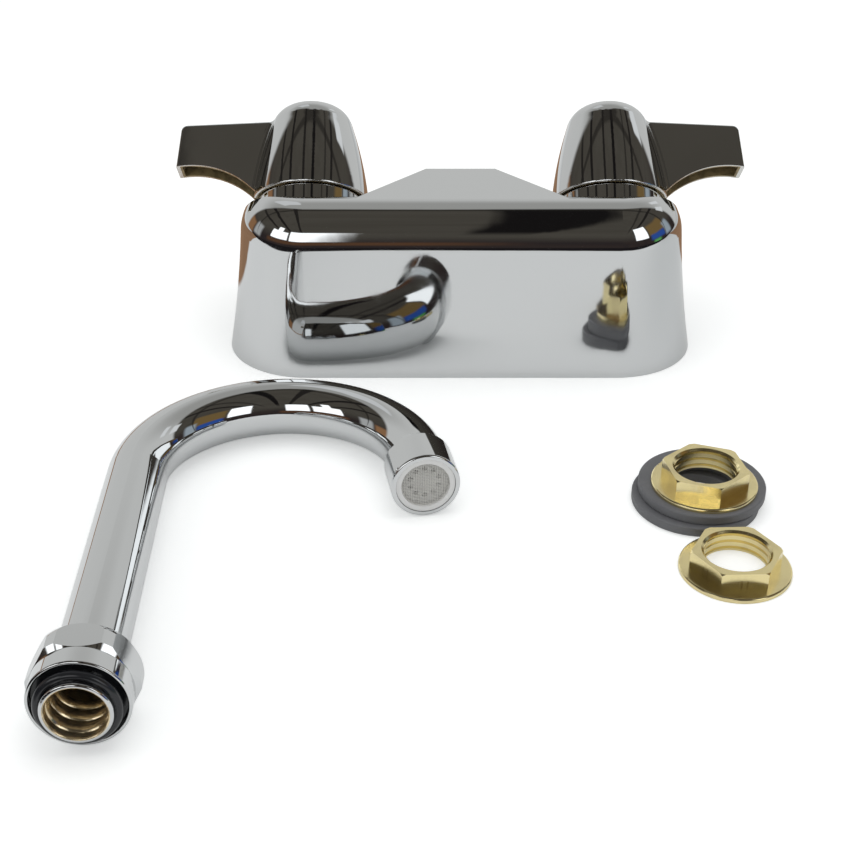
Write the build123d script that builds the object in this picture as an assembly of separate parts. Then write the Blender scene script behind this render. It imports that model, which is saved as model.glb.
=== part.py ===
from build123d import *
import math
import os

# A two-handle wall faucet as a kit on a table. The valve body lies on its wall side with its underside
# towards -Y. The gooseneck spout is taken off and lies in front of it, with the fixing nuts and washers.
# Millimetres. +Z is the table's normal and, on the valve body, the direction in which a user stands.

# Valve body: outer shell
body_width = 171.0
body_depth = 62.0
body_height = 60.0
plan_radius = 30.0
shoulder_radius = 15.0
lean_base = 11.0
lean_top = 4.5
shell_wall = 3.0
slope_start = 25.0
slope_angle = 45.0
slope_blend = 9.0

# Valve body: middle tower that carries the spout
tower_base_half = 36.0
tower_top_half = 13.0
tower_end = 51.0
tower_edge = 1.2
tower_foot = 14.0
neck_below_front = 24.0
neck_collar_radius = 15.0
neck_collar_end = 58.0
neck_end = 70.0

# Valves, measured along a valve axis from the sloped face, outwards is positive
valve_spacing = 110.0
valve_down_slope = 24.0
boss_radius = 19.6
boss_rise = 4.5
boss_recess_radius = 16.2
rim_gap = 0.5
chamber_radius = 12.0
chamber_bore = 9.5
chamber_rise = 9.0
chamber_depth = 36.0
seat_depth = 28.0
port_radius = 4.5
fit_gap = 0.1
seat_gap = 0.05

# Waterway
cross_radius = 9.0
cross_bore = 5.5
cross_depth = 17.0
riser_radius = 12.0
riser_bore = 6.0
socket_depth = 20.0
socket_gap = 0.05
inlet_inwards = 4.2
inlet_radius = 10.45
inlet_bore = 7.5
inlet_recess = 1.0
inlet_behind_chamber = 3.49
inlet_into_chamber = 4.43
thread_pitch = 1.81
thread_depth = 0.9
neck_thread_length = 9.0

# Cartridges
flange_radius = 11.2
flange_thickness = 1.5
disc_radius = 8.0
disc_thickness = 3.0
disc_hole = 2.6
seal_thickness = 3.0
stem_radius = 3.5
stem_gap = 0.05
stem_foot_radius = 7.6
stem_foot_thickness = 3.0
stem_rise = 33.0
ring_section = 0.9
ring_place = 2.0
clip_radius = 5.6
clip_thickness = 0.8
clip_lift = 0.1

# Bonnet nuts
bonnet_across_flats = 26.4
bonnet_lip_radius = 8.4
bonnet_lip = 2.0

# Handles, measured from the rim along the valve axis
rim_rise = 6.7
hub_rim_radius = 21.3
hub_mid_radius = 19.3
hub_upper_radius = 16.0
hub_height = 37.3
hub_crown = 10.5
hub_round = 9.5
handle_wall = 1.5
rim_round = 0.4
hub_ceiling = 9.0
socket_radius = 6.5
socket_length = 11.0
recess_radius = 6.0
recess_depth = 5.0
screw_head_radius = 3.6
screw_head_thickness = 2.2
screw_radius = 1.9
screw_length = 10.0
slot_width = 1.0
slot_depth = 0.9
button_thickness = 2.0
button_crown = 0.6
lever_reach = 49.6
lever_tip_low = 12.2
lever_tip_high = 29.0
lever_root_high = 31.4
lever_tip_slant = 1.4
lever_thickness = 12.0
lever_top_thickness = 9.6
lever_corner = 2.4
lever_edge = 0.9
lever_bow = 3.5
lever_dip = 2.0
lever_root_low = 1.6
lever_root_place = 19.6
lever_blend = 2.8

# Spout
tube_radius = 9.2
tube_wall = 1.4
leg_length = 107.3
bend_radius = 43.5
bend_angle = 172.0
outlet_straight = 4.5
tube_nose = 3.8
tube_end_round = 0.6
groove_depth = 0.4
bead_radius = 2.0
bead_rise = 0.8
bead_spacing = 4.4
bead_first = 4.0
bead_count = 3

# Spout nut and its rings
nut_across_flats = 26.5
nut_corner_radius = 14.5
nut_hex_length = 10.0
nut_collar_radius = 13.2
nut_collar_length = 6.0
nut_collar_round = 0.5
nut_bore_gap = 0.2
nut_mouth_radius = 12.1
nut_mouth_depth = 11.0
nut_dome = 4.0
thrust_thickness = 3.0
thrust_recess = 2.0
thrust_gap = 0.15
o_ring_radius = 1.2
o_ring_place = -1.1

# Aerator
cap_radius = 10.75
cap_length = 14.3
cap_lip_round = 0.7
cap_back_round = 0.35
cap_flat = 10.3
cap_flat_stop = 1.4
cap_flat_turn = 45.0
cap_gap = 0.05
housing_recess = 0.3
housing_length = 8.0
housing_opening = 7.55
screen_recess = 0.7
screen_thickness = 0.5
screen_pitch = 1.1
screen_hole = 0.72
diffuser_thickness = 2.0
diffuser_hole = 0.8
diffuser_ring = 4.6
diffuser_count = 10
aerator_washer_thickness = 1.4

# Loose fixing parts
flange_nut_radius = 16.5
flange_nut_base = 1.4
flange_nut_height = 6.8
flange_nut_flats = 23.5
flange_nut_bore = 9.6
flange_nut_thread = 0.85
flange_nut_chamfer = 0.7
washer_radius = 19.75
washer_bore = 10.8
washer_thickness = 3.1
washer_edge = 0.5

# Places on the table, from the middle of the body's front base line
spout_place = (-98.0, -189.1)
spout_yaw = 1.9
washer_places = ((71.4, -79.2), (73.4, -77.4))
nut_beside = (77.6, -115.0)
nut_on_top = (73.8, -79.0)
nut_turns = (2.0, -19.0)

# Derived values
slope_run = valve_down_slope * math.cos(math.radians(slope_angle))
slope_drop = valve_down_slope * math.sin(math.radians(slope_angle))
valve_y = slope_start + slope_run
valve_z = body_height - slope_drop
valve_dir = (0, math.sin(math.radians(slope_angle)), math.cos(math.radians(slope_angle)))
chamber_end_y = valve_y - chamber_depth * valve_dir[1]
chamber_end_z = valve_z - chamber_depth * valve_dir[2]
neck_height = body_height - neck_below_front
inlet_spacing = valve_spacing - 2 * inlet_inwards
inlet_place = chamber_end_y + inlet_behind_chamber
inlet_top = chamber_end_z + inlet_into_chamber
hub_upper = hub_height - hub_crown
hub_mid = hub_upper / 2
boss_top = rim_rise - rim_gap
tube_bore = tube_radius - tube_wall
nut_length = nut_hex_length + nut_collar_length
cartridge_top = chamber_rise + flange_thickness


def valve_plane(side, lift=0.0):
    """The plane square to a valve axis, side is -1 on the left and 1 on the right."""
    base = Plane(origin=(side * valve_spacing / 2, valve_y, valve_z), x_dir=(1, 0, 0), z_dir=valve_dir)
    return base.offset(lift)


def rod(radius, bottom, top):
    """A cylinder on the local Z axis from one height to another."""
    return Pos(0, 0, (bottom + top) / 2) * Cylinder(radius, top - bottom)


def ring(outer, inner, bottom, top):
    return rod(outer, bottom, top) - rod(inner, bottom - 1, top + 1)


def hexagon(across_flats, bottom, top, turn=0.0):
    sides = RegularPolygon(across_flats / 2, 6, major_radius=False, rotation=turn)
    return Pos(0, 0, bottom) * extrude(sides, top - bottom)


def hull_profile(inset):
    """Half section of the shell's wall: a hollow-curved side that leans inwards, then a round shoulder."""
    base, top = math.radians(lean_base), math.radians(lean_top)
    curve = shoulder_foot() / (math.sin(base) - math.sin(top))
    centre = (plan_radius + curve * math.cos(base), curve * math.sin(base))
    reach = curve + inset
    first = math.asin(centre[1] / reach)
    points = []
    for angle in (first, (first + top) / 2, top):
        points.append((centre[0] - reach * math.cos(angle), centre[1] - reach * math.sin(angle)))
    edge = (centre[0] - curve * math.cos(top), centre[1] - curve * math.sin(top))
    hub = (edge[0] - shoulder_radius * math.cos(top), edge[1] - shoulder_radius * math.sin(top))
    turn = (top + math.pi / 2) / 2
    bend = shoulder_radius - inset
    middle = (hub[0] + bend * math.cos(turn), hub[1] + bend * math.sin(turn))
    crown = (hub[0], hub[1] + bend)
    lines = [
        Line((0, 0), points[0]),
        ThreePointArc(*points),
        ThreePointArc(points[2], middle, crown),
        Line(crown, (0, crown[1])),
        Line((0, crown[1]), (0, 0)),
    ]
    return make_face(lines)


def shoulder_foot():
    """Height at which the side wall turns into the round shoulder."""
    return body_height - shoulder_radius * (1 - math.sin(math.radians(lean_top)))


def hull(inset=0.0):
    """The shell's outer block, or the block inside it when inset by a wall."""
    half_x = body_width / 2 - plan_radius
    half_y = body_depth / 2 - plan_radius
    profile = hull_profile(inset)
    height = body_height - inset
    solid = Pos(0, 0, height / 2) * Box(2 * half_x, 2 * half_y, height)
    for turn, length, out in ((0, half_y, half_x), (90, half_x, half_y), (180, half_y, half_x), (270, half_x, half_y)):
        side = extrude(Plane.XZ * profile, length, both=True)
        solid += Rot(0, 0, turn) * Pos(out, 0, 0) * side
    for turn in (0, 90, 180, 270):
        across = half_x if turn % 180 == 0 else half_y
        along = half_y if turn % 180 == 0 else half_x
        corner = revolve(Plane.XZ * profile, Axis.Z, 90)
        solid += Rot(0, 0, turn) * Pos(across, along, 0) * corner
    return Pos(0, body_depth / 2, 0) * solid


def slope_cutter(inset=0.0):
    """Everything above the sloped face, whose edge with the front is rounded."""
    last = math.radians(slope_angle)
    tangent = slope_blend * math.tan(last / 2)
    centre = (slope_start - tangent, body_height - slope_blend)
    arc = []
    for angle in (0, last / 2, last):
        arc.append((centre[0] + slope_blend * math.sin(angle), centre[1] + slope_blend * math.cos(angle)))
    far = 2 * body_depth
    end = (arc[2][0] + far * math.cos(last), arc[2][1] - far * math.sin(last))
    outline = [
        ThreePointArc(*arc),
        Line(arc[2], end),
        Line(end, (end[0], 2 * body_height)),
        Line((end[0], 2 * body_height), (arc[0][0], 2 * body_height)),
        Line((arc[0][0], 2 * body_height), arc[0]),
    ]
    tool = extrude(Plane.YZ * make_face(outline), body_width, both=True)
    return Pos(0, -inset * valve_dir[1], -inset * valve_dir[2]) * tool


def tower(inset=0.0):
    """The flat-fronted middle that narrows towards the spout."""
    lean = (tower_base_half - tower_top_half) / (tower_end - slope_start)
    start = slope_start - (slope_blend if inset else slope_blend * math.tan(math.radians(slope_angle) / 2))
    wide = tower_base_half + lean * (slope_start - start) - inset
    narrow = tower_top_half - inset
    end = tower_end - inset
    outline = Polyline((-wide, start), (wide, start), (narrow, end), (-narrow, end), close=True)
    low = 0 if inset else tower_foot
    block = Pos(0, 0, low) * extrude(make_face(outline), body_height - inset - low)
    if inset:
        return block
    rims = [e for e in block.edges().group_by(Axis.Z)[-1] if e.center().Y > start + 1]
    return fillet(rims, tower_edge)


def along_y(shape, height):
    """Turns a shape on the local Z axis to run along +Y at a height above the table."""
    return Pos(0, 0, height) * Rot(-90, 0, 0) * shape


def body_shell():
    outer = hull() - slope_cutter() + tower()
    outer += along_y(rod(neck_collar_radius, slope_start + slope_blend, neck_collar_end), neck_height)
    cavity = hull(shell_wall) - slope_cutter(shell_wall)
    room = tower(shell_wall) & hull(shell_wall)
    for side in (-1, 1):
        outer += valve_plane(side) * rod(boss_radius, -boss_radius / 2, boss_top)
    shell = outer - cavity - room
    for side in (-1, 1):
        shell -= valve_plane(side) * rod(chamber_radius + fit_gap, -chamber_depth, 2 * boss_rise)
        shell -= valve_plane(side) * rod(boss_recess_radius, boss_rise, boss_top + 1)
    shell -= along_y(rod(riser_radius + fit_gap, slope_start, neck_end), neck_height)
    return shell


def thread_grooves(radius, bottom, top, depth=thread_depth, pitch=thread_pitch):
    """Thin V rings at thread pitch, to be cut from the outside of a round piece."""
    count = int((top - bottom) / pitch)
    cuts = []
    for i in range(count):
        z = bottom + (i + 0.5) * pitch
        tip = [(radius + 1, z - 0.5 * pitch), (radius + 1, z + 0.5 * pitch), (radius - depth, z)]
        face = make_face(Polyline(*tip, close=True))
        cuts.append(revolve(Plane.XZ * face, Axis.Z))
    return cuts


def waterway():
    """One brass casting: two valve chambers, the cross pipe, the spout neck and two threaded inlets."""
    cross_y = valve_y - cross_depth * valve_dir[1]
    cross_z = valve_z - cross_depth * valve_dir[2]
    across = Pos(0, cross_y, cross_z) * Rot(0, 90, 0)
    solid = across * Cylinder(cross_radius, valve_spacing)
    solid += along_y(rod(riser_radius, cross_y, neck_end), neck_height)
    for side in (-1, 1):
        solid += valve_plane(side) * rod(chamber_radius, -chamber_depth, chamber_rise)
        inlet = rod(inlet_radius, inlet_recess, inlet_top)
        for cut in thread_grooves(inlet_radius, inlet_recess, inlet_recess + neck_thread_length):
            inlet -= cut
        solid += Pos(side * inlet_spacing / 2, inlet_place, 0) * inlet
    solid -= across * Cylinder(cross_bore, valve_spacing)
    solid -= along_y(rod(riser_bore, cross_y, neck_end), neck_height)
    solid -= along_y(rod(tube_radius + socket_gap, neck_end - socket_depth, neck_end + 1), neck_height)
    for cut in thread_grooves(riser_radius, neck_end - neck_thread_length, neck_end):
        solid -= along_y(cut, neck_height)
    for side in (-1, 1):
        solid -= valve_plane(side) * rod(chamber_bore, -seat_depth, chamber_rise + 1)
        solid -= valve_plane(side) * rod(port_radius, 2 - chamber_depth, -seat_depth)
        place = Pos(side * inlet_spacing / 2, inlet_place, 0)
        solid -= place * rod(inlet_bore, inlet_recess - 1, inlet_top - 4)
    return solid


def stem_foot_top():
    """Height of the stem foot's upper face below the sloped face."""
    return disc_floor() + 2 * disc_thickness + stem_foot_thickness


def disc_floor():
    return -seat_depth + seal_thickness


def seat_seal():
    return ring(disc_radius - fit_gap, port_radius, -seat_depth, disc_floor())


def disc(level, turn):
    """A ceramic disc with two openings."""
    low = disc_floor() + level * disc_thickness
    solid = rod(disc_radius - fit_gap, low, low + disc_thickness)
    for side in (-1, 1):
        hole = Pos(side * disc_radius / 2, 0, 0) * rod(disc_hole, low - 1, low + disc_thickness + 1)
        solid -= Rot(0, 0, turn) * hole
    return solid


def cartridge():
    """The brass sleeve that holds discs and stem, with its flange on the chamber's rim."""
    solid = rod(chamber_bore - fit_gap, -seat_depth, chamber_rise)
    solid += rod(flange_radius, chamber_rise, cartridge_top)
    solid -= rod(disc_radius, -seat_depth - 1, stem_foot_top() + fit_gap)
    solid -= rod(stem_radius + stem_gap, -seat_depth, cartridge_top + 1)
    groove = Pos(0, 0, ring_place) * Torus(stem_radius + ring_section, ring_section + seat_gap)
    return solid - groove


def stem():
    """The turning spindle: a foot that drives the upper disc, a shaft and a tapped end for the screw."""
    foot = rod(stem_foot_radius, stem_foot_top() - stem_foot_thickness, stem_foot_top())
    solid = foot + rod(stem_radius, stem_foot_top(), stem_rise)
    solid -= rod(screw_radius, stem_rise - screw_length - 1, stem_rise + 1)
    low = cartridge_top + clip_lift
    groove = ring(stem_radius + 1, stem_radius - 0.5, low, low + clip_thickness)
    return solid - groove


def stem_ring():
    """The rubber ring round the stem, in the cartridge's groove."""
    solid = Pos(0, 0, ring_place) * Torus(stem_radius + ring_section, ring_section)
    return solid - rod(stem_radius + stem_gap, ring_place - 2, ring_place + 2)


def stem_clip():
    """The spring clip in the stem's groove above the cartridge."""
    low = cartridge_top + clip_lift
    solid = ring(clip_radius, stem_radius - 0.5, low, low + clip_thickness)
    gap = Pos(0, -clip_radius, low) * Box(3.0, 2 * clip_radius, 4 * clip_thickness)
    return solid - gap


def bonnet_nut():
    """The nut that pulls the shell down on the chamber and holds the cartridge's flange."""
    low = boss_rise + seat_gap
    high = cartridge_top + bonnet_lip
    solid = hexagon(bonnet_across_flats, low, high)
    corner = bonnet_across_flats / math.sqrt(3)
    solid &= Cone(corner + 1.2, corner - 1.2, high - low + 2, align=(Align.CENTER, Align.CENTER, Align.MIN)).moved(
        Location((0, 0, low - 1))
    )
    solid -= rod(chamber_radius + seat_gap, low - 1, cartridge_top)
    return solid - rod(bonnet_lip_radius, low, high + 1)


def hub_profile(inset=0.0):
    """Half section of the handle's hub, rim at zero, or of the room inside it when inset by a wall."""
    rim, upper = hub_rim_radius - inset, hub_upper_radius - inset
    side = ThreePointArc((rim, 0), (hub_mid_radius - inset, hub_mid), (upper, hub_upper))
    lead = side % 1
    corner = (upper + lead.X / lead.Y * (hub_height - hub_upper), hub_height)
    lines = [
        side,
        Line((upper, hub_upper), corner),
        Line(corner, (0, hub_height)),
        Line((0, hub_height), (0, 0)),
        Line((0, 0), (rim, 0)),
    ]
    face = make_face(lines)
    if inset:
        return face
    shoulder = [v for v in face.vertices() if v.Y > hub_height - 0.01 and v.X > 1]
    return fillet(shoulder, hub_round)


def lever_outline(inset=0.0):
    """The lever's face seen square on: a straight top, an upright tip and a curved lower edge."""
    reach = lever_reach - inset
    high, tip_high = lever_root_high - inset, lever_tip_high - inset
    if inset:
        points = [(-inset, -1), (-inset, high), (-reach + lever_tip_slant, tip_high), (-reach, -1)]
        return make_face(Polyline(*points, close=True))
    mid = ((lever_reach + lever_root_place) / 2 - lever_bow, lever_tip_low - lever_dip)
    lines = [
        Line((0, lever_root_low), (0, lever_root_high)),
        Line((0, lever_root_high), (-reach + lever_tip_slant, lever_tip_high)),
        Line((-reach + lever_tip_slant, lever_tip_high), (-reach, lever_tip_low)),
        ThreePointArc((-reach, lever_tip_low), (-mid[0], mid[1]), (-lever_root_place, lever_root_low)),
        Line((-lever_root_place, lever_root_low), (0, lever_root_low)),
    ]
    face = make_face(lines)
    corner = [v for v in face.vertices() if v.X < -reach + lever_tip_slant + 0.1 and v.Y > lever_tip_high - 0.1]
    return fillet(corner, lever_corner)


def lever_block(inset=0.0):
    """The lever as a plate on the hub's axis, thinner at its top than at its lower edge."""
    half_low = lever_thickness / 2 - inset
    half_top = lever_top_thickness / 2 - inset
    plate = extrude(Plane.XZ * lever_outline(inset), lever_thickness, both=True)
    high = lever_root_high
    section = Polyline((-half_low, -1), (half_low, -1), (half_top, high), (-half_top, high), close=True)
    wedge = extrude(Plane.YZ * make_face(section), lever_reach + 1, both=True)
    return plate & wedge


def handle_shape():
    """A hollow hub with a hollow lever towards -X, open below, with a socket for the stem."""
    lever = lever_block()
    top_edges = [e for e in lever.edges() if e.center().X < -hub_rim_radius and e.center().Z > lever_tip_high - 3]
    lever = fillet([e for e in top_edges if abs(e.center().Y) > 1], lever_edge)
    solid = revolve(Plane.XZ * hub_profile(), Axis.Z) + lever
    roots = [e for e in solid.edges() if -hub_rim_radius - 1 < e.center().X < -hub_rim_radius / 2 and e.length > 8]
    solid = fillet([e for e in roots if abs(e.center().Y) > lever_thickness / 4], lever_blend)
    rim = [e for e in solid.edges().filter_by(GeomType.CIRCLE) if abs(e.center().Z) < 0.01]
    solid = fillet(rim, rim_round)
    inside = revolve(Plane.XZ * hub_profile(handle_wall), Axis.Z)
    inside &= rod(hub_rim_radius, -1, hub_height - hub_ceiling)
    solid -= inside
    solid -= lever_block(handle_wall)
    bottom = hub_height - hub_ceiling - socket_length
    post = rod(socket_radius, bottom, hub_height - hub_ceiling + 2)
    solid += post
    solid -= rod(stem_radius + stem_gap, bottom - 1, stem_rise - rim_rise + seat_gap)
    solid -= rod(screw_radius + 0.3, bottom, hub_height)
    solid -= rod(recess_radius, hub_height - recess_depth, hub_height + 1)
    return solid


def handle(side):
    shape = Pos(0, 0, rim_rise) * handle_shape()
    return shape if side < 0 else mirror(shape, about=Plane.YZ)


def handle_screw():
    """The screw under the button, which holds the handle on the stem."""
    seat = rim_rise + hub_height - recess_depth
    solid = rod(screw_head_radius, seat, seat + screw_head_thickness)
    solid += rod(screw_radius - seat_gap, stem_rise - screw_length, seat)
    slot = Pos(0, 0, seat + screw_head_thickness) * Box(3 * screw_head_radius, slot_width, 2 * slot_depth)
    return solid - slot


def index_button():
    """The plain cap that closes the recess in the handle's top."""
    top = rim_rise + hub_height
    low = top - button_thickness
    solid = rod(recess_radius - seat_gap, low, top + button_crown)
    edges = solid.edges().group_by(Axis.Z)[-1]
    return fillet(edges, button_crown * 0.8)


def spout_tube():
    """The gooseneck: a straight leg from the nut, a wide bend and a short outlet, with beads in its mouth."""
    nose = Line((0, -tube_nose), (0, leg_length))
    centre = (bend_radius, leg_length)
    bend = CenterArc(centre, bend_radius, 180, -bend_angle)
    outlet = Line(bend @ 1, (bend @ 1) + (bend % 1) * outlet_straight)
    path = Wire([nose, bend, outlet])
    section = Plane(origin=(0, -tube_nose, 0), z_dir=(0, 1, 0)) * Circle(tube_radius)
    hole = Plane(origin=(0, -tube_nose, 0), z_dir=(0, 1, 0)) * Circle(tube_bore)
    solid = sweep(section, path) - sweep(hole, path)
    groove = Rot(90, 0, 0) * Torus(tube_radius + o_ring_radius - groove_depth, o_ring_radius + seat_gap)
    solid -= Pos(0, o_ring_place, 0) * groove
    for i in range(bead_count):
        y = bead_first + i * bead_spacing - tube_nose
        bead = Torus(tube_bore + bead_radius - bead_rise, bead_radius) & rod(tube_bore + 0.5, -bead_radius, bead_radius)
        solid += Pos(0, y, 0) * Rot(90, 0, 0) * bead
    mouth = solid.edges().filter_by(GeomType.CIRCLE).group_by(Axis.Y)[0]
    return fillet(mouth, tube_end_round)


def along_spout(shape):
    """Turns a shape made on the local Z axis to lie along the leg, with its foot at the nut's mouth."""
    return Rot(-90, 0, 0) * shape


def spout_nut():
    """The hexagon nut: a domed back, flats turned down at the corners and a round collar at the mouth."""
    low, high = nut_collar_length, nut_length
    bevel = nut_corner_radius - nut_collar_radius
    back = nut_corner_radius - nut_dome / 2
    turned = [
        Line((0, low), (nut_collar_radius, low)),
        Line((nut_collar_radius, low), (nut_corner_radius, low + bevel)),
        Line((nut_corner_radius, low + bevel), (nut_corner_radius, high - nut_dome)),
        TangentArc((nut_corner_radius, high - nut_dome), (back, high), tangent=(0, 1)),
        Line((back, high), (0, high)),
        Line((0, high), (0, low)),
    ]
    solid = hexagon(nut_across_flats, low, high) & revolve(Plane.XZ * make_face(turned), Axis.Z)
    solid += rod(nut_collar_radius, 0, low)
    solid -= rod(tube_radius + nut_bore_gap, -1, high + 1)
    solid -= rod(nut_mouth_radius, -1, nut_mouth_depth)
    rim = solid.edges().filter_by(GeomType.CIRCLE).group_by(Axis.Z)[0]
    return along_spout(fillet(rim, nut_collar_round))


def spout_thrust_ring():
    low = thrust_recess
    return along_spout(
        ring(nut_mouth_radius - thrust_gap, tube_radius + seat_gap, low, low + thrust_thickness)
    )


def spout_o_ring():
    solid = Torus(tube_radius + o_ring_radius - groove_depth, o_ring_radius)
    return Pos(0, o_ring_place, 0) * Rot(90, 0, 0) * solid


def outlet_plane():
    """The plane at the tube's outlet, its normal points the way the water leaves."""
    end = math.radians(180 - bend_angle)
    x = bend_radius + bend_radius * math.cos(end)
    y = leg_length + bend_radius * math.sin(end)
    flow = (math.sin(end), -math.cos(end))
    tip = (x + flow[0] * outlet_straight, y + flow[1] * outlet_straight, 0)
    return Plane(origin=tip, x_dir=(0, 0, 1), z_dir=(flow[0], flow[1], 0))


def cap_front():
    """Distance from the tube's end to the aerator cap's front face."""
    return cap_length - outlet_straight + 0.5


def aerator_cap():
    """The cap with a round front lip and two flats for a wrench."""
    front = cap_front()
    back = front - cap_length
    solid = ring(cap_radius, tube_radius + cap_gap, back, front)
    edges = solid.edges().group_by(Axis.Z)
    solid = fillet(edges[-1].sort_by(SortBy.RADIUS)[-1:], cap_lip_round)
    solid = fillet(solid.edges().group_by(Axis.Z)[0].sort_by(SortBy.RADIUS)[-1:], cap_back_round)
    stop = front - cap_flat_stop
    for turn in (cap_flat_turn, cap_flat_turn + 180):
        flat = Pos(cap_flat + cap_radius / 2, 0, stop - cap_length) * Box(cap_radius, 3 * cap_radius, 2 * cap_length)
        solid -= Rot(0, 0, turn) * flat
    return outlet_plane() * solid


def aerator_housing():
    """The plastic insert: a ring whose front shows as the white band round the screen."""
    top = cap_front() - housing_recess
    low = top - housing_length
    solid = ring(tube_radius - seat_gap, housing_opening, low, top)
    return outlet_plane() * solid


def aerator_screen():
    """The square mesh, one holed face."""
    top = cap_front() - housing_recess - screen_recess
    face = Circle(housing_opening - fit_gap).face()
    count = int(housing_opening / screen_pitch) + 1
    places = []
    for i in range(-count, count + 1):
        for j in range(-count, count + 1):
            x, y = i * screen_pitch, j * screen_pitch
            if math.hypot(abs(x) + screen_hole / 2, abs(y) + screen_hole / 2) < housing_opening - 3 * fit_gap:
                places.append((x, y))
    holes = [Pos(x, y, 0) * Rectangle(screen_hole, screen_hole) for x, y in places]
    net = face - holes
    return outlet_plane() * Pos(0, 0, top - screen_thickness) * extrude(net, screen_thickness)


def aerator_diffuser():
    """The perforated plate behind the screen."""
    top = cap_front() - housing_recess - screen_recess - screen_thickness - 1.0
    low = top - diffuser_thickness
    solid = rod(housing_opening - fit_gap, low, top)
    for i in range(diffuser_count):
        turn = Rot(0, 0, 360 * i / diffuser_count)
        solid -= turn * Pos(diffuser_ring, 0, 0) * rod(diffuser_hole, low - 1, top + 1)
    return outlet_plane() * solid


def aerator_washer():
    """The rubber washer between the tube's end and the insert."""
    high = cap_front() - housing_recess - housing_length
    low = high - aerator_washer_thickness
    return outlet_plane() * ring(tube_radius - seat_gap, tube_bore, max(low, seat_gap), high)


def flange_nut():
    """A brass hexagon locknut on a thin round flange, tapped for the inlets."""
    corner = flange_nut_flats / math.sqrt(3)
    solid = hexagon(flange_nut_flats, 0, flange_nut_height)
    solid &= Cone(
        corner + flange_nut_height - 0.5, corner - 0.5, flange_nut_height,
        align=(Align.CENTER, Align.CENTER, Align.MIN),
    )
    plate = rod(flange_nut_radius, 0, flange_nut_base)
    plate = fillet(plate.edges().group_by(Axis.Z)[-1], flange_nut_base * 0.45)
    solid += plate
    solid -= rod(flange_nut_bore, -1, flange_nut_height + 1)
    count = int(flange_nut_height / thread_pitch)
    for i in range(count):
        z = (i + 0.5) * flange_nut_height / count
        half = 0.42 * flange_nut_height / count
        tip = [(flange_nut_bore - 1, z - half), (flange_nut_bore - 1, z + half)]
        tip += [(flange_nut_bore + flange_nut_thread, z)]
        solid -= revolve(Plane.XZ * make_face(Polyline(*tip, close=True)), Axis.Z)
    mouth = Cone(
        flange_nut_bore, flange_nut_bore + flange_nut_chamfer, flange_nut_chamfer,
        align=(Align.CENTER, Align.CENTER, Align.MAX),
    )
    return solid - Pos(0, 0, flange_nut_height) * mouth


def shank_washer():
    solid = ring(washer_radius, washer_bore, 0, washer_thickness)
    return fillet(solid.edges().filter_by(GeomType.CIRCLE), washer_edge)


def spout_lie():
    """How the spout lies: on a flat of its nut and on the back edge of its aerator cap."""
    nut_axis = nut_across_flats / 2
    end = outlet_plane()
    cap_back = end.origin.Y + end.z_dir.Y * (cap_front() - cap_length)
    curve = 1.25 * nut_dome
    flat_end = nut_length - nut_dome + math.sqrt(curve**2 - (nut_axis - nut_corner_radius + curve) ** 2)
    drop = math.asin((nut_axis - cap_radius) / (cap_back - flat_end))
    lift = nut_axis + math.sin(drop) * flat_end
    return Location((spout_place[0], spout_place[1], lift), (-math.degrees(drop), 0, spout_yaw))


def locknuts():
    beside = Pos(nut_beside[0], nut_beside[1], 0) * Rot(0, 0, nut_turns[0]) * flange_nut()
    stack = len(washer_places) * washer_thickness
    above = Pos(nut_on_top[0], nut_on_top[1], stack) * Rot(0, 0, nut_turns[1]) * flange_nut()
    return Compound(children=[beside.solid(), above.solid()])


def shank_washers():
    pair = []
    for i, place in enumerate(washer_places):
        pair.append((Pos(place[0], place[1], i * washer_thickness) * shank_washer()).solid())
    return Compound(children=pair)


def build_nodes():
    nodes = {"body_shell": body_shell(), "waterway": waterway()}
    for name, side in (("left", -1), ("right", 1)):
        at = valve_plane(side)
        nodes[f"seat_seal_{name}"] = at * seat_seal()
        nodes[f"fixed_disc_{name}"] = at * disc(0, 0)
        nodes[f"moving_disc_{name}"] = at * disc(1, 90)
        nodes[f"cartridge_{name}"] = at * cartridge()
        nodes[f"stem_{name}"] = at * stem()
        nodes[f"stem_ring_{name}"] = at * stem_ring()
        nodes[f"stem_clip_{name}"] = at * stem_clip()
        nodes[f"bonnet_nut_{name}"] = at * bonnet_nut()
        nodes[f"handle_{name}"] = at * handle(side)
        nodes[f"handle_screw_{name}"] = at * handle_screw()
        nodes[f"index_button_{name}"] = at * index_button()
    lie = spout_lie()
    spout = {
        "spout_tube": spout_tube(),
        "spout_nut": spout_nut(),
        "spout_thrust_ring": spout_thrust_ring(),
        "spout_o_ring": spout_o_ring(),
        "aerator_cap": aerator_cap(),
        "aerator_housing": aerator_housing(),
        "aerator_screen": aerator_screen(),
        "aerator_diffuser": aerator_diffuser(),
        "aerator_washer": aerator_washer(),
    }
    for name, shape in spout.items():
        nodes[name] = lie * shape
    nodes["locknuts"] = locknuts()
    nodes["shank_washers"] = shank_washers()
    return nodes


os.makedirs("parts", exist_ok=True)
made = build_nodes()
whole = Compound(children=[s for shape in made.values() for s in shape.solids()]).bounding_box()
shift = Pos(-(whole.min.X + whole.max.X) / 2, -(whole.min.Y + whole.max.Y) / 2, 0)
for node_name, shape in made.items():
    export_step(shift * shape, f"parts/{node_name}.step")
print("shift", shift.position, "size", whole.size, "lowest", whole.min.Z)
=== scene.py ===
import functools
import math

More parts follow.
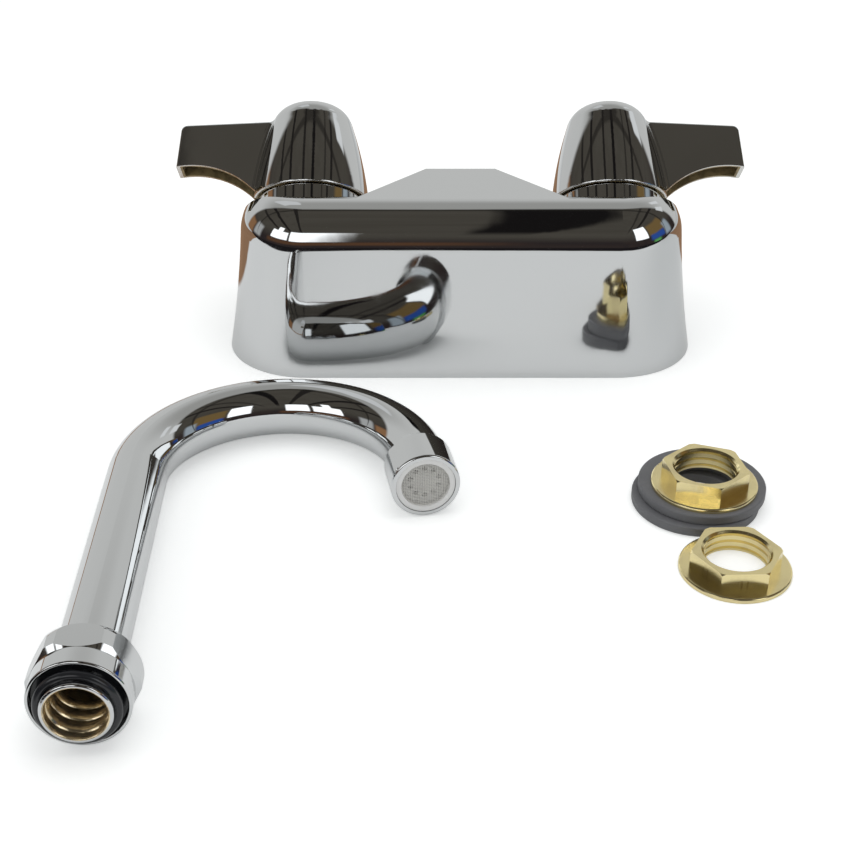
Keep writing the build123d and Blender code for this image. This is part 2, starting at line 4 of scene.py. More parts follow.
import bpy
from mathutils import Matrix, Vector


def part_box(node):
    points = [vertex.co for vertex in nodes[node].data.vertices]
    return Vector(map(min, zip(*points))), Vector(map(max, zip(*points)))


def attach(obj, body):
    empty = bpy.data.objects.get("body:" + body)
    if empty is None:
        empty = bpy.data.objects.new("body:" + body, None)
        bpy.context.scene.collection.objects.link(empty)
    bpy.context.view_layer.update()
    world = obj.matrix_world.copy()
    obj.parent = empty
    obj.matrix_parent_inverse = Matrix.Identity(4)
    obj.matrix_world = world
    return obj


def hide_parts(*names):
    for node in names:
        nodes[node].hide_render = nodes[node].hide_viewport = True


def deselect_all():
    for chosen in list(bpy.context.selected_objects):
        chosen.select_set(False)


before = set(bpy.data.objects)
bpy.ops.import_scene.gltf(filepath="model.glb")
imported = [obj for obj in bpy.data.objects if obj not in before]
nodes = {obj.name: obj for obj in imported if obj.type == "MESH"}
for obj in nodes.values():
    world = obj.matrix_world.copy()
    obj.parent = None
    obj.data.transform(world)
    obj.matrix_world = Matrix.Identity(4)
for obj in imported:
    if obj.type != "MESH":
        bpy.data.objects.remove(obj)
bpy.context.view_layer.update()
deselect_all()

# Lengths are metres in the frame of the CAD model: +Z up from the table, +Y away from the camera.
MM = 0.001
SIDES = ("left", "right")

# The camera and the table are placed from the middle of the valve body's front
body_low, body_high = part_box("body_shell")
BODY_MIDDLE = (body_low.x + body_high.x) / 2
BODY_FRONT = body_low.y

# Handle sizes, for the finish inside it. The rim and the stem ring rise along the stem from one base,
# and the other heights along the stem start at the rim.
HUB_RIM_RISE = 6.7 * MM
STEM_RING_RISE = 2.0 * MM
HUB_RADIUS = 21.3 * MM
HUB_MID = 13.4 * MM
HUB_LEAN = 0.149
HUB_LEAN_MORE = 0.097
HUB_CEILING = 28.6 * MM
HALF_WALL = 0.75 * MM
LEVER_HALF = 6.0 * MM
LEVER_DRAFT = 0.038
LEVER_ROOF = 31.4 * MM
LEVER_FALL = 0.048
LEVER_REACH = 49.6 * MM
LEVER_END_SLANT = 0.048
# The hub's underside is found by how far its surface faces down along the stem
UNDERSIDE_FACING = (-0.75, -0.45)

# Spout leg and locknut sizes, for their finishes
TUBE_BORE = 8.3 * MM
LEG_LENGTH = 90.0 * MM
NUT_RADIUS = 16.5 * MM

# Woven screen in the aerator: the square cloth is cut to a disc
SCREEN_RADIUS = 7.4 * MM
SCREEN_SIDE = 2.04 * SCREEN_RADIUS
SCREEN_CELLS = 28
SCREEN_WIRE = 0.25 * MM
SCREEN_WEAVE = 0.07 * MM

# Chrome plate: colour, haze and waves, and the specks of dust in them
CHROME_COLOUR = (0.665, 0.675, 0.68)
CHROME_POLISH = {"Smooth": 0.025, "Hazy": 0.075, "Smear_Scale": 55.0, "Wave_Scale": 85.0}
CHROME_WAVE = 0.02 * MM
SPECK_SCALE = 2600.0
SPECK_HEIGHT = 0.012
# Unpolished metal at a rim, rougher and in a lighter colour that is painted sheen for its sparkle, and raw
# metal inside the hollow pieces: colour, roughness and metallic share
RIM_SHEEN_COLOUR = (0.82, 0.81, 0.78)
RIM_ROUGH = (0.10, 0.34)
RAW_HANDLE = ((0.40, 0.31, 0.16), 0.42, 0.55)
RAW_SPOUT = ((0.90, 0.75, 0.50), 0.13, 0.88)
RAW_COARSENESS = 3.5
RAW_DARKER = 0.55
# Scale of the turning marks on the locknuts, across their axes
TURNING_SCALE = 4200.0
# Limits of a noise texture's values that are spread over the wanted range: the usual pair and a tighter one
NOISE_RANGE = (0.3, 0.7)
NOISE_MIDDLE = (0.35, 0.65)

# Camera, read from the photograph's perspective, in metres and degrees
CAMERA_ASIDE = -0.013
CAMERA_BACK = 0.4673
CAMERA_HEIGHT = 0.260
CAMERA_PITCH = 30.9
CAMERA_ANGLE = 31.84
CAMERA_NEAREST = 0.01

# Table, and what the chrome mirrors on it: white paper, bare wood behind it, a dark room in front of it.
# Distances run from the middle of the valve body's front.
TABLE_NEAR = 0.9
TABLE_FAR = 2.4
TABLE_HALF = 2.2
PAPER_BACK = 0.085
PAPER_SLANT = 0.10
PAPER_SOFT = 0.008
WOOD_BACK = 0.30
WOOD_SOFT = 0.02
# Lines that end the mirrored paper towards the viewer: slope, distance in front and limits of the soft edge
LEFT_EDGE = (0.45, 0.275, -0.012, 0.012)
STEEP_EDGE = (2.6, 0.52, -0.04, 0.04)
RIGHT_EDGE = (-0.42, 0.40, -0.02, 0.02)
FRONT_EDGE = (0.0, 0.47, -0.06, 0.03)
# A soft shadow on the mirrored paper, to the right of the body's middle
SHADOW_X = (0.0, 0.2)
SHADOW_Y = (-0.18, 0.0)
SHADOW_DEPTH = 0.4
# Own light of the table, as the camera and as a mirror sees it
GLOW_SEEN = 0.42
GLOW_MIRRORED = 0.09

# Soft lamps that the chrome doesn't mirror: name, place, target, size and power
LAMPS = (
    ("soft_overhead", (0.1, 0.15, 0.9), (0.0, 0.0, 0.0), (0.9, 0.7), 2.2),
    ("soft_left", (-0.8, -0.2, 0.6), (0.0, 0.0, 0.02), (0.6, 0.6), 0.9),
)

# Bright openings that the chrome mirrors: compass angles from the front, height angles and brightness
WINDOWS = (
    (-64, -32, 14, 33, 1.8),
    (-54, -44, 33, 42, 1.8),
    (-28, -4, 13, 37, 1.8),
    (31, 55, 13, 42, 1.8),
    (-171, -150, 40, 54, 0.72),
    (120, 131, 29, 40, 0.85),
    (139, 147, 31, 41, 0.85),
)
WINDOW_SOFT = 1.2
# Coloured things near the room's walls: the same four angles and a colour
WALL_THINGS = (
    (-70, 2, 4, 12, (0.11, 0.055, 0.03)),
    (58, 98, 16, 40, (0.19, 0.125, 0.05)),
    (60, 90, 5, 17, (0.03, 0.09, 0.36)),
    (64, 80, -2, 4, (0.12, 0.42, 0.12)),
    (92, 106, 2, 26, (0.36, 0.42, 0.47)),
    (-101, -84, 2, 24, (0.46, 0.47, 0.47)),
    (-122, -104, -3, 18, (0.30, 0.16, 0.08)),
)
WALL_SOFT = 3.0
# Beams across the ceiling: sideways distance over height, half width and darkness
BEAMS = (
    (-2.1, 0.16, 0.8),
    (-1.1, 0.07, 0.85),
    (-0.64, 0.05, 0.9),
    (-0.20, 0.035, 0.85),
    (0.09, 0.045, 1.0),
    (0.47, 0.03, 0.6),
    (0.72, 0.05, 0.85),
    (1.6, 0.12, 0.7),
)
BEAM_CORE = 0.7
BEAM_OUTER = 1.15
LOWEST_SLOPE = 0.05
# Height angles between which walls turn into ceiling, beams begin and the back wall darkens
CEILING_RISE = (8.0, 30.0)
BEAM_RISE = (28.0, 42.0)
BACK_WALL_RISE = (26.0, 52.0)
# The light back wall begins where a direction's backward part passes these, less a share of its sideways part
BACK_WALL_START = (0.25, 0.34)
BACK_WALL_SPREAD = 0.25
# A dark lintel just behind overhead, in angles that turn from the front over the top
LINTEL_LOW = 102.0
LINTEL_HIGH = 106.0
LINTEL_SOFT = 1.0
LINTEL_DEPTH = 0.7


def new_tree(name):
    """A new material, its node tree and its Principled shader."""
    material = bpy.data.materials.new(name)
    material.use_nodes = True
    tree = material.node_tree
    shader = tree.nodes["Principled BSDF"]
    return material, tree, shader


def is_socket(value):
    return isinstance(value, bpy.types.NodeSocket)


def add(tree, kind, inputs=None, **settings):
    """A node with its settings, and its inputs either set to a value or linked from a socket."""
    node = tree.nodes.new(kind)
    for key, value in settings.items():
        setattr(node, key, value)
    for key, value in (inputs or {}).items():
        socket = node.inputs[key]
        if is_socket(value):
            tree.links.new(value, socket)
        else:
            socket.default_value = value
    return node


def maths(tree, operation, first, second=0.0, third=0.0, clamp=False):
    """The result socket of a Math node."""
    inputs = {0: first, 1: second, 2: third}
    return add(tree, "ShaderNodeMath", inputs, operation=operation, use_clamp=clamp).outputs[0]


def all_true(tree, *tests):
    """One where every comparison holds, each given as (operation, first, second)."""
    results = [maths(tree, *test) for test in tests]
    return functools.reduce(lambda first, second: maths(tree, "MULTIPLY", first, second), results)


def remap(tree, value, low, high, to_low=0.0, to_high=1.0):
    """A value carried from one range to another, clamped and with soft ends."""
    inputs = {0: value, 1: low, 2: high, 3: to_low, 4: to_high}
    return add(tree, "ShaderNodeMapRange", inputs, interpolation_type="SMOOTHSTEP").outputs[0]


def band(tree, value, low, high, soft):
    """One between two limits and zero outside them, with soft ends."""
    begun = remap(tree, value, low - soft, low + soft)
    not_ended = remap(tree, value, high - soft, high + soft, 1.0, 0.0)
    return maths(tree, "MULTIPLY", begun, not_ended)


def blend_colour(tree, factor, first, second):
    """The result socket of a mix of two colours, each a socket or (red, green, blue)."""
    first, second = (value if is_socket(value) else (*value, 1.0) for value in (first, second))
    return add(tree, "ShaderNodeMix", {0: factor, 6: first, 7: second}, data_type="RGBA").outputs[2]


def noise(tree, place, scale, detail, roughness=0.5, distortion=0.0):
    """The value socket of a Noise Texture node."""
    inputs = {"Vector": place, "Scale": scale, "Detail": detail}
    inputs.update(Roughness=roughness, Distortion=distortion)
    return add(tree, "ShaderNodeTexNoise", inputs).outputs[0]


def object_place(tree):
    return add(tree, "ShaderNodeTexCoord").outputs["Object"]


def offset_from(tree, origin):
    """A surface point's place, seen from an origin."""
    inputs = {0: object_place(tree), 1: tuple(origin)}
    return add(tree, "ShaderNodeVectorMath", inputs, operation="SUBTRACT").outputs[0]


def dot(tree, first, second):
    """The dot product of a vector socket with another socket or a direction."""
    inputs = {0: first, 1: second}
    return add(tree, "ShaderNodeVectorMath", inputs, operation="DOT_PRODUCT").outputs["Value"]


def shade_group(name, inputs, outputs):
    """An empty node group with its sockets, its input and output nodes."""
    group = bpy.data.node_groups.new(name, "ShaderNodeTree")
    for label, value in inputs:
        socket = group.interface.new_socket(name=label, in_out="INPUT", socket_type="NodeSocketFloat")
        socket.default_value = value
    for label in outputs:
        group.interface.new_socket(name=label, in_out="OUTPUT", socket_type="NodeSocketFloat")
    entry = group.nodes.new("NodeGroupInput")
    leave = group.nodes.new("NodeGroupOutput")
    return group, entry, leave


def make_polish_group():
    """Finger smears, polishing haze and the faint waviness of a plated surface."""
    group, entry, leave = shade_group(
        "plate_polish",
        (("Smooth", 0.03), ("Hazy", 0.09), ("Smear Scale", 60.0), ("Wave Scale", 90.0)),
        ("Roughness", "Height"),
    )
    place = object_place(group)
    smear = noise(group, place, entry.outputs["Smear Scale"], 5.0, 0.6, 0.6)
    speck = noise(group, place, SPECK_SCALE, 2.0)
    thin = remap(group, speck, *NOISE_RANGE, 0.55, 1.0)
    haze = maths(group, "MULTIPLY", remap(group, smear, 0.42, 0.72), thin)
    span = maths(group, "SUBTRACT", entry.outputs["Hazy"], entry.outputs["Smooth"])
    rough = maths(group, "MULTIPLY_ADD", haze, span, entry.outputs["Smooth"])
    wave = noise(group, place, entry.outputs["Wave Scale"], 2.0, 0.4)
    height = maths(group, "MULTIPLY_ADD", speck, SPECK_HEIGHT, wave)
    group.links.new(rough, leave.inputs["Roughness"])
    group.links.new(height, leave.inputs["Height"])
    return group


def make_grain_group():
    """Fine irregular grain for cast, moulded and rubber surfaces."""
    group, entry, leave = shade_group(
        "fine_grain",
        (("Scale", 900.0), ("Patch Scale", 70.0)),
        ("Grain", "Patches"),
    )
    place = object_place(group)
    grain = noise(group, place, entry.outputs["Scale"], 4.0, 0.65)
    patches = noise(group, place, entry.outputs["Patch Scale"], 3.0, 0.55)
    group.links.new(grain, leave.inputs["Grain"])
    group.links.new(patches, leave.inputs["Patches"])
    return group


POLISH = make_polish_group()
GRAIN = make_grain_group()


def set_inputs(node, **values):
    """Values for a node's inputs, with an underscore for each space in their names."""
    for key, value in values.items():
        node.inputs[key.replace("_", " ")].default_value = value


def use_group(tree, group, **values):
    node = tree.nodes.new("ShaderNodeGroup")
    node.node_tree = group
    set_inputs(node, **values)
    return node


def bump(tree, shader, height, distance):
    node = add(tree, "ShaderNodeBump", {"Height": height, "Distance": distance, "Strength": 1.0})
    tree.links.new(node.outputs[0], shader.inputs["Normal"])


def shade(tree, shader, factor, first, second):
    """A base colour between two shades."""
    tree.links.new(blend_colour(tree, factor, first, second), shader.inputs["Base Color"])


def roughen(tree, shader, texture, rough):
    """A roughness that follows a texture between its two values."""
    tree.links.new(remap(tree, texture, *NOISE_RANGE, *rough), shader.inputs["Roughness"])


def darker(colour, share):
    return tuple(share * part for part in colour)


def polished_chrome(name):
    material, tree, shader = new_tree(name)
    set_inputs(shader, Base_Color=(*CHROME_COLOUR, 1.0), Metallic=1.0)
    polish = use_group(tree, POLISH, **CHROME_POLISH)
    tree.links.new(polish.outputs["Roughness"], shader.inputs["Roughness"])
    bump(tree, shader, polish.outputs["Height"], CHROME_WAVE)
    return material


def plated_outside(name, raw_metal, inside, rim_with_sheen=None):
    """Chrome plate that gives way to raw metal inside a hollow piece, and turns rougher on an unpolished rim,
    where a lighter colour is painted sheen.
    """
    material, tree, shader = new_tree(name)
    raw_colour, raw_rough, raw_share = raw_metal
    hidden = inside(tree)
    rim = rim_with_sheen(tree) if rim_with_sheen else 0.0
    grain = use_group(tree, GRAIN, Scale=1100.0, Patch_Scale=240.0)
    polish = use_group(tree, POLISH, **CHROME_POLISH)
    patches = remap(tree, grain.outputs["Patches"], *NOISE_MIDDLE)
    raw = blend_colour(tree, patches, raw_colour, darker(raw_colour, RAW_DARKER))
    # The rim's lighter colour is painted sheen, standing in for its sparkle
    plate = blend_colour(tree, rim, CHROME_COLOUR, RIM_SHEEN_COLOUR)
    shade(tree, shader, hidden, plate, raw)
    tree.links.new(remap(tree, hidden, 0.0, 1.0, 1.0, raw_share), shader.inputs["Metallic"])
    rim_rough = remap(tree, grain.outputs["Grain"], *NOISE_MIDDLE, *RIM_ROUGH)
    rough = maths(tree, "MAXIMUM", polish.outputs["Roughness"], maths(tree, "MULTIPLY", rim, rim_rough))
    rough = maths(tree, "MAXIMUM", rough, maths(tree, "MULTIPLY", hidden, raw_rough))
    tree.links.new(rough, shader.inputs["Roughness"])
    coarse = maths(tree, "MULTIPLY", maths(tree, "MAXIMUM", rim, hidden), grain.outputs["Grain"])
    height = maths(tree, "MULTIPLY_ADD", coarse, RAW_COARSENESS, polish.outputs["Height"])
    bump(tree, shader, height, CHROME_WAVE)
    return material


def from_line(tree, origin, direction):
    """Distance of a surface point from a line, and its place along the line."""
    offset = offset_from(tree, origin)
    along = dot(tree, offset, direction)
    square = dot(tree, offset, offset)
    distance = maths(tree, "SQRT", maths(tree, "SUBTRACT", square, maths(tree, "MULTIPLY", along, along)))
    return distance, along


def turned_brass(name, centres, first, second):
    """Machined brass: fine turning marks about the nearest upright axis, a little tarnish."""
    material, tree, shader = new_tree(name)
    set_inputs(shader, Metallic=1.0)
    grain = use_group(tree, GRAIN, Scale=700.0, Patch_Scale=90.0)
    distances = [from_line(tree, centre, (0.0, 0.0, 1.0))[0] for centre in centres]
    distance = functools.reduce(lambda near, found: maths(tree, "MINIMUM", near, found), distances)
    marks = {"W": maths(tree, "MULTIPLY", distance, TURNING_SCALE), "Detail": 3.0}
    rings = add(tree, "ShaderNodeTexNoise", marks, noise_dimensions="1D").outputs[0]
    shade(tree, shader, remap(tree, grain.outputs["Patches"], 0.4, 0.7), first, second)
    roughen(tree, shader, rings, (0.15, 0.24))
    bump(tree, shader, maths(tree, "MULTIPLY_ADD", grain.outputs["Grain"], 0.4, rings), 0.006 * MM)
    return material


def grained(name, first, second, rough, scale, patch_scale, height, metal):
    """Two close shades in patches, and grain in the roughness and the surface."""
    material, tree, shader = new_tree(name)
    set_inputs(shader, Metallic=metal)
    grain = use_group(tree, GRAIN, Scale=scale, Patch_Scale=patch_scale)
    shade(tree, shader, grain.outputs["Patches"], first, second)
    roughen(tree, shader, grain.outputs["Grain"], rough)
    bump(tree, shader, grain.outputs["Grain"], height)
    return material


def cast_brass(name):
    return grained(name, (0.62, 0.46, 0.24), (0.44, 0.31, 0.16), (0.38, 0.58), 420.0, 55.0, 0.12 * MM, 1.0)


def moulded(name, first, second, rough, height=0.02 * MM):
    """Rubber, plastic or ceramic."""
    return grained(name, first, second, rough, 900.0, 120.0, height, 0.0)


def drawn_steel(name, colour, rough, metal=1.0):
    return grained(name, colour, darker(colour, 0.75), rough, 1500.0, 200.0, 0.01 * MM, metal)


def middle_of(name):
    low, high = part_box(name)
    return (low + high) / 2


def handle_finish(side):
    """Raw metal inside the hub and the lever, found by the distance from their walls."""
    outward = (-1.0 if side == "left" else 1.0, 0.0, 0.0)
    axis = Vector((0.0, 1.0, 1.0)).normalized()
    sideways = (0.0, -axis.y, axis.z)
    foot = middle_of(f"stem_ring_{side}") + axis * (HUB_RIM_RISE - STEM_RING_RISE)

    def inside(tree):
        offset = offset_from(tree, foot)
        along = dot(tree, offset, axis)
        aside = dot(tree, offset, outward)
        across = maths(tree, "ABSOLUTE", dot(tree, offset, sideways))
        square = maths(tree, "MULTIPLY_ADD", aside, aside, maths(tree, "MULTIPLY", across, across))
        radius = maths(tree, "SQRT", square)
        above = maths(tree, "MAXIMUM", maths(tree, "SUBTRACT", along, HUB_MID), 0.0)
        bend = maths(tree, "MULTIPLY", above, HUB_LEAN_MORE)
        cone = maths(tree, "MULTIPLY_ADD", along, -HUB_LEAN, HUB_RADIUS - HALF_WALL)
        wall = maths(tree, "SUBTRACT", cone, bend)
        in_hub = all_true(
            tree,
            ("LESS_THAN", radius, wall),
            ("LESS_THAN", along, HUB_CEILING),
        )
        half = maths(tree, "MULTIPLY_ADD", along, -LEVER_DRAFT, LEVER_HALF - HALF_WALL)
        roof = maths(tree, "MULTIPLY_ADD", aside, -LEVER_FALL, LEVER_ROOF - HALF_WALL)
        end = maths(tree, "MULTIPLY_ADD", along, -LEVER_END_SLANT, LEVER_REACH - HALF_WALL)
        in_lever = all_true(
            tree,
            ("LESS_THAN", across, half),
            ("LESS_THAN", along, roof),
            ("LESS_THAN", aside, end),
            ("GREATER_THAN", aside, 0.0),
        )
        return maths(tree, "MAXIMUM", in_hub, in_lever)

    # Down-facing rim: a rougher finish, and a lighter colour as painted sheen
    def rim_with_sheen(tree):
        facing = dot(tree, add(tree, "ShaderNodeTexCoord").outputs["Normal"], axis)
        return remap(tree, facing, *UNDERSIDE_FACING, 1.0, 0.0)

    return plated_outside(f"handle_plate_{side}", RAW_HANDLE, inside, rim_with_sheen)


def tube_finish():
    """Chrome outside, brass in the bore, found by the distance from the leg's axis."""
    start = middle_of("spout_nut")
    way = (start - middle_of("spout_o_ring")).normalized()

    def inside(tree):
        distance, along = from_line(tree, start, way)
        return all_true(
            tree,
            ("LESS_THAN", distance, TUBE_BORE),
            ("LESS_THAN", along, LEG_LENGTH),
        )

    return plated_outside("spout_plate", RAW_SPOUT, inside)


def both_sides(*parts):
    """The names of pieces that both valves have."""
    return [f"{part}_{side}" for part in parts for side in SIDES]


def dress(names, material):
    for name in names:
        for slot in nodes[name].material_slots:
            slot.material = material


def table_material():
    """White table. A mirror sees the paper on it, the bare wood behind and the dark room in front."""
    material, tree, shader = new_tree("white_table")
    path = add(tree, "ShaderNodeLightPath").outputs
    place = object_place(tree)
    from_body = offset_from(tree, (BODY_MIDDLE, BODY_FRONT, 0.0))
    axes = add(tree, "ShaderNodeSeparateXYZ", {0: from_body}).outputs
    x, y = axes["X"], axes["Y"]

    def behind(slope, distance, low, high):
        """One behind a slanted line in front of the body, with a soft edge."""
        line = maths(tree, "ADD", maths(tree, "MULTIPLY_ADD", x, slope, y), distance)
        return remap(tree, line, low, high)

    mottle = noise(tree, place, 14.0, 3.0)
    paper = blend_colour(tree, mottle, (0.865, 0.88, 0.88), (0.90, 0.91, 0.905))
    shadow = maths(tree, "MULTIPLY", remap(tree, x, *SHADOW_X), remap(tree, y, *SHADOW_Y))
    shadow = maths(tree, "MULTIPLY", shadow, SHADOW_DEPTH)
    mirrored = blend_colour(tree, shadow, paper, (0.56, 0.585, 0.59))
    streaks = noise(tree, place, 9.0, 4.0, distortion=1.5)
    wood = blend_colour(tree, streaks, (0.40, 0.245, 0.15), (0.29, 0.165, 0.095))
    edge = maths(tree, "SUBTRACT", y, maths(tree, "MULTIPLY", x, PAPER_SLANT))
    past_paper = remap(tree, edge, PAPER_BACK, PAPER_BACK + PAPER_SOFT)
    on_wood = remap(tree, y, WOOD_BACK, WOOD_BACK + WOOD_SOFT, 1.0, 0.0)
    mirrored = blend_colour(tree, maths(tree, "MULTIPLY", past_paper, on_wood), mirrored, wood)
    right = behind(*RIGHT_EDGE)
    lit = maths(tree, "MAXIMUM", behind(*LEFT_EDGE), maths(tree, "MULTIPLY", behind(*STEEP_EDGE), right))
    lit = maths(tree, "MULTIPLY", lit, maths(tree, "MULTIPLY", behind(*FRONT_EDGE), right))
    mirrored = blend_colour(tree, lit, (0.016, 0.014, 0.015), mirrored)
    colour = blend_colour(tree, path["Is Glossy Ray"], paper, mirrored)
    tree.links.new(colour, shader.inputs["Base Color"])
    set_inputs(shader, Roughness=0.7, Specular_IOR_Level=0.0)
    seen = maths(tree, "ADD", path["Is Camera Ray"], path["Is Transmission Ray"], clamp=True)
    mirror_glow = maths(tree, "MULTIPLY", path["Is Glossy Ray"], GLOW_MIRRORED)
    strength = maths(tree, "MULTIPLY_ADD", seen, GLOW_SEEN, mirror_glow)
    glow = add(tree, "ShaderNodeEmission", {"Color": colour, "Strength": strength})
    both = add(tree, "ShaderNodeAddShader", {0: shader.outputs[0], 1: glow.outputs[0]})
    tree.links.new(both.outputs[0], tree.nodes["Material Output"].inputs["Surface"])
    return material


def make_table():
    bpy.ops.mesh.primitive_plane_add(size=1.0)
    table = bpy.context.active_object
    table.name = "table_top"
    near, far = BODY_FRONT - TABLE_NEAR, BODY_FRONT + TABLE_FAR
    for corner in table.data.vertices:
        side = 1 if corner.co.x > 0 else -1
        corner.co = (BODY_MIDDLE + side * TABLE_HALF, far if corner.co.y > 0 else near, 0.0)
    table.data.materials.append(table_material())


def make_woven_screen():
    """The aerator's wire cloth: wires that pass over and under each other, trimmed to a disc."""
    deselect_all()
    bpy.ops.mesh.primitive_grid_add(
        x_subdivisions=SCREEN_CELLS,
        y_subdivisions=SCREEN_CELLS,
        size=SCREEN_SIDE,
    )
    screen = bpy.context.active_object
    screen.name = "woven_screen"
    centre = middle_of("aerator_screen")
    out = (centre - middle_of("aerator_washer")).normalized()
    right = Vector((0.0, 0.0, 1.0)).cross(out).normalized()
    up = out.cross(right)
    trimmed = set()
    for corner in screen.data.vertices:
        across, along = corner.co.x, corner.co.y
        column = round((across / SCREEN_SIDE + 0.5) * SCREEN_CELLS)
        row = round((along / SCREEN_SIDE + 0.5) * SCREEN_CELLS)
        reach = math.hypot(across, along)
        if reach >= SCREEN_RADIUS:
            trimmed.add(corner.index)
            across, along = across * SCREEN_RADIUS / reach, along * SCREEN_RADIUS / reach
        weave = SCREEN_WEAVE if (column + row) % 2 else -SCREEN_WEAVE
        corner.co = centre + right * across + up * along + out * weave
    bpy.ops.object.mode_set(mode="EDIT")
    bpy.ops.mesh.select_mode(type="FACE")
    bpy.ops.mesh.select_all(action="DESELECT")
    bpy.ops.object.mode_set(mode="OBJECT")
    for face in screen.data.polygons:
        face.select = all(index in trimmed for index in face.vertices)
    bpy.ops.object.mode_set(mode="EDIT")
    bpy.ops.mesh.delete(type="FACE")
    bpy.ops.object.mode_set(mode="OBJECT")
    bpy.ops.object.modifier_add(type="WIREFRAME")
    cloth = screen.modifiers[-1]
    cloth.thickness = SCREEN_WIRE
    cloth.use_even_offset = False
    cloth.use_boundary = True
    bpy.ops.object.modifier_apply(modifier=cloth.name)
    screen.data.materials.append(drawn_steel("woven_steel", (0.95, 0.94, 0.90), (0.3, 0.42), 0.0))
    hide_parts("aerator_screen")
    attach(screen, "faucet_kit")


def room_light():
    """A plain white surround. Mirrors see a dark room with windows, and beams in its ceiling."""
    world = bpy.data.worlds.new("studio_room")
    bpy.context.scene.world = world
    world.use_nodes = True
    tree = world.node_tree
    direction = add(tree, "ShaderNodeTexCoord").outputs["Generated"]
    way = add(tree, "ShaderNodeSeparateXYZ", {0: direction}).outputs
    forward = maths(tree, "MULTIPLY", way["Y"], -1.0)
    aside = maths(tree, "DEGREES", maths(tree, "ARCTAN2", way["X"], forward))
    rise = maths(tree, "DEGREES", maths(tree, "ARCSINE", way["Z"]))
    turn = maths(tree, "DEGREES", maths(tree, "ARCTAN2", way["Z"], forward))

    def patch(left, right, low, high, soft):
        """One inside a rectangle of compass and height angles."""
        across = band(tree, aside, left, right, soft)
        upright = band(tree, rise, low, high, soft)
        return maths(tree, "MULTIPLY", across, upright)

    cloud = noise(tree, direction, 5.0, 4.0, 0.6)
    ceiling = blend_colour(tree, cloud, (0.095, 0.087, 0.074), (0.058, 0.052, 0.042))
    low_front = blend_colour(tree, cloud, (0.05, 0.035, 0.028), (0.018, 0.017, 0.022))
    room = blend_colour(tree, remap(tree, rise, *CEILING_RISE), low_front, ceiling)
    slope = maths(tree, "DIVIDE", way["X"], maths(tree, "MAXIMUM", way["Z"], LOWEST_SLOPE))
    rafters = 0.0
    for place, half, depth in BEAMS:
        gap = maths(tree, "ABSOLUTE", maths(tree, "SUBTRACT", slope, place))
        beam = remap(tree, gap, BEAM_CORE * half, BEAM_OUTER * half, 1.0, 0.0)
        rafters = maths(tree, "MAXIMUM", rafters, maths(tree, "MULTIPLY", beam, depth))
    rafters = maths(tree, "MULTIPLY", rafters, remap(tree, rise, *BEAM_RISE))
    room = blend_colour(tree, rafters, room, (0.010, 0.009, 0.009))
    for left, right, low, high, colour in WALL_THINGS:
        room = blend_colour(tree, patch(left, right, low, high, WALL_SOFT), room, colour)
    spread = maths(tree, "MULTIPLY", maths(tree, "ABSOLUTE", way["X"]), BACK_WALL_SPREAD)
    behind = remap(tree, maths(tree, "SUBTRACT", way["Y"], spread), *BACK_WALL_START)
    wall = blend_colour(tree, remap(tree, rise, *BACK_WALL_RISE), (0.66, 0.665, 0.655), (0.40, 0.40, 0.385))
    room = blend_colour(tree, behind, room, wall)
    for left, right, low, high, level in WINDOWS:
        daylight = (0.97 * level, 0.99 * level, level)
        room = blend_colour(tree, patch(left, right, low, high, WINDOW_SOFT), room, daylight)
    lintel = maths(tree, "MULTIPLY", band(tree, turn, LINTEL_LOW, LINTEL_HIGH, LINTEL_SOFT), LINTEL_DEPTH)
    room = blend_colour(tree, lintel, room, (0.02, 0.018, 0.016))
    path = add(tree, "ShaderNodeLightPath").outputs
    surround = blend_colour(tree, path["Is Glossy Ray"], (0.6, 0.6, 0.6), room)
    seen = maths(tree, "ADD", path["Is Camera Ray"], path["Is Transmission Ray"], clamp=True)
    surround = blend_colour(tree, seen, surround, (1.0, 1.0, 1.0))
    tree.links.new(surround, tree.nodes["Background"].inputs["Color"])


def area_lamp(name, place, target, size, power):
    data = bpy.data.lights.new(name, "AREA")
    data.shape = "RECTANGLE"
    data.size, data.size_y = size
    data.energy = power
    lamp = bpy.data.objects.new(name, data)
    lamp.location = place
    lamp.rotation_euler = (Vector(target) - Vector(place)).to_track_quat("-Z", "Y").to_euler()
    lamp.visible_glossy = False
    bpy.context.scene.collection.objects.link(lamp)


def make_camera():
    data = bpy.data.cameras.new("photo_camera")
    data.sensor_fit = "HORIZONTAL"
    data.angle = math.radians(CAMERA_ANGLE)
    data.clip_start = CAMERA_NEAREST
    camera = bpy.data.objects.new("photo_camera", data)
    camera.location = (BODY_MIDDLE + CAMERA_ASIDE, BODY_FRONT - CAMERA_BACK, CAMERA_HEIGHT)
    camera.rotation_euler = (math.radians(90 - CAMERA_PITCH), 0, 0)
    bpy.context.scene.collection.objects.link(camera)
    bpy.context.scene.camera = camera


make_camera()
make_table()
room_light()
for lamp in LAMPS:
    area_lamp(*lamp)

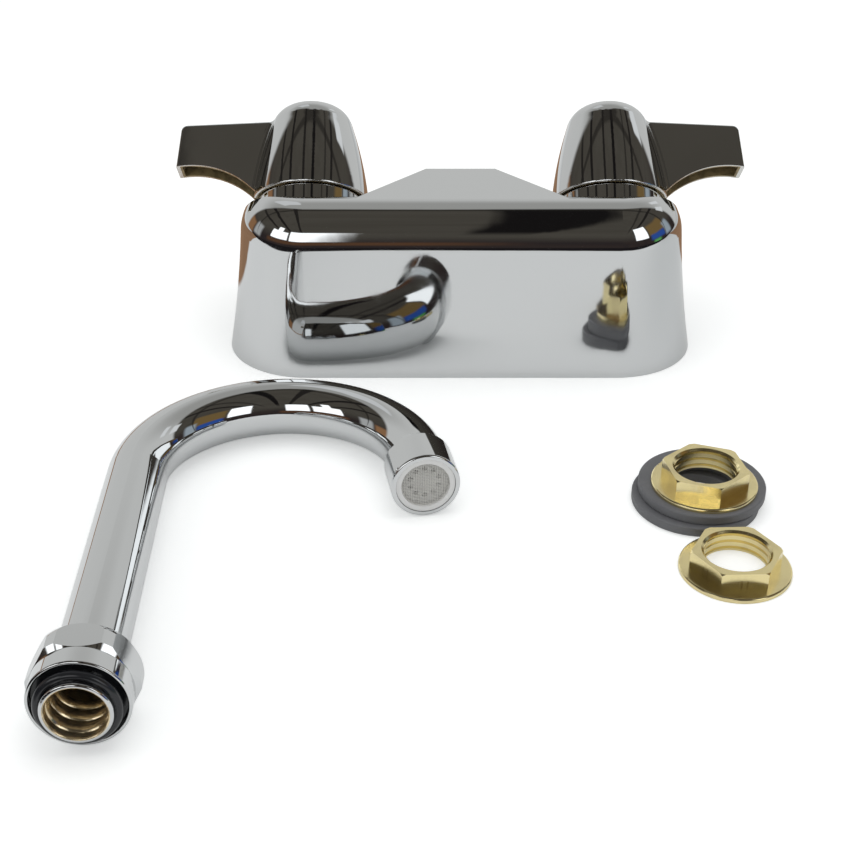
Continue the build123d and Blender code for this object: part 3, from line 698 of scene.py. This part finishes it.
# Plated pieces
chrome = polished_chrome("polished_chrome")
dress([name for name in nodes if name.startswith(("body_shell", "bonnet_nut"))], chrome)
dress(both_sides("index_button") + ["spout_nut", "aerator_cap"], chrome)
for side in SIDES:
    dress([f"handle_{side}"], handle_finish(side))
dress(["spout_tube"], tube_finish())

# Brass: one locknut stands at the right front of their common box, the other at its left back
dress(["waterway"], cast_brass("cast_brass"))
nut_low, nut_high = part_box("locknuts")
nut_centres = (
    (nut_high.x - NUT_RADIUS, nut_low.y + NUT_RADIUS, 0.0),
    (nut_low.x + NUT_RADIUS, nut_high.y - NUT_RADIUS, 0.0),
)
dress(["locknuts"], turned_brass("turned_brass", nut_centres, (0.93, 0.80, 0.43), (0.80, 0.68, 0.38)))
dress(both_sides("cartridge", "stem"), cast_brass("cartridge_brass"))

# Rubber
black_rubber = moulded("black_rubber", (0.012, 0.012, 0.014), (0.03, 0.03, 0.033), (0.42, 0.62), 0.04 * MM)
grey_rubber = moulded("grey_rubber", (0.12, 0.122, 0.13), (0.17, 0.172, 0.18), (0.45, 0.62), 0.04 * MM)
wet_black = moulded("wet_black", (0.010, 0.011, 0.013), (0.02, 0.021, 0.024), (0.12, 0.22))
dress(both_sides("seat_seal", "stem_ring") + ["aerator_washer"], black_rubber)
dress(["shank_washers"], grey_rubber)
dress(["spout_o_ring", "spout_thrust_ring"], wet_black)

# Plastic, steel and ceramic
white_plastic = moulded("white_plastic", (0.80, 0.80, 0.79), (0.86, 0.86, 0.85), (0.3, 0.42))
grey_plastic = moulded("grey_plastic", (0.60, 0.60, 0.58), (0.68, 0.68, 0.66), (0.35, 0.5))
lapped_ceramic = moulded("lapped_ceramic", (0.84, 0.83, 0.80), (0.9, 0.89, 0.86), (0.12, 0.2))
dress(["aerator_housing"], white_plastic)
dress(["aerator_diffuser"], grey_plastic)
dress(["aerator_screen"], drawn_steel("screen_steel", (0.55, 0.55, 0.55), (0.3, 0.45)))
dress(both_sides("stem_clip", "handle_screw"), drawn_steel("spring_steel", (0.6, 0.6, 0.6), (0.25, 0.4)))
dress(both_sides("fixed_disc", "moving_disc"), lapped_ceramic)

make_woven_screen()

bpy.context.scene.view_settings.view_transform = "Standard"
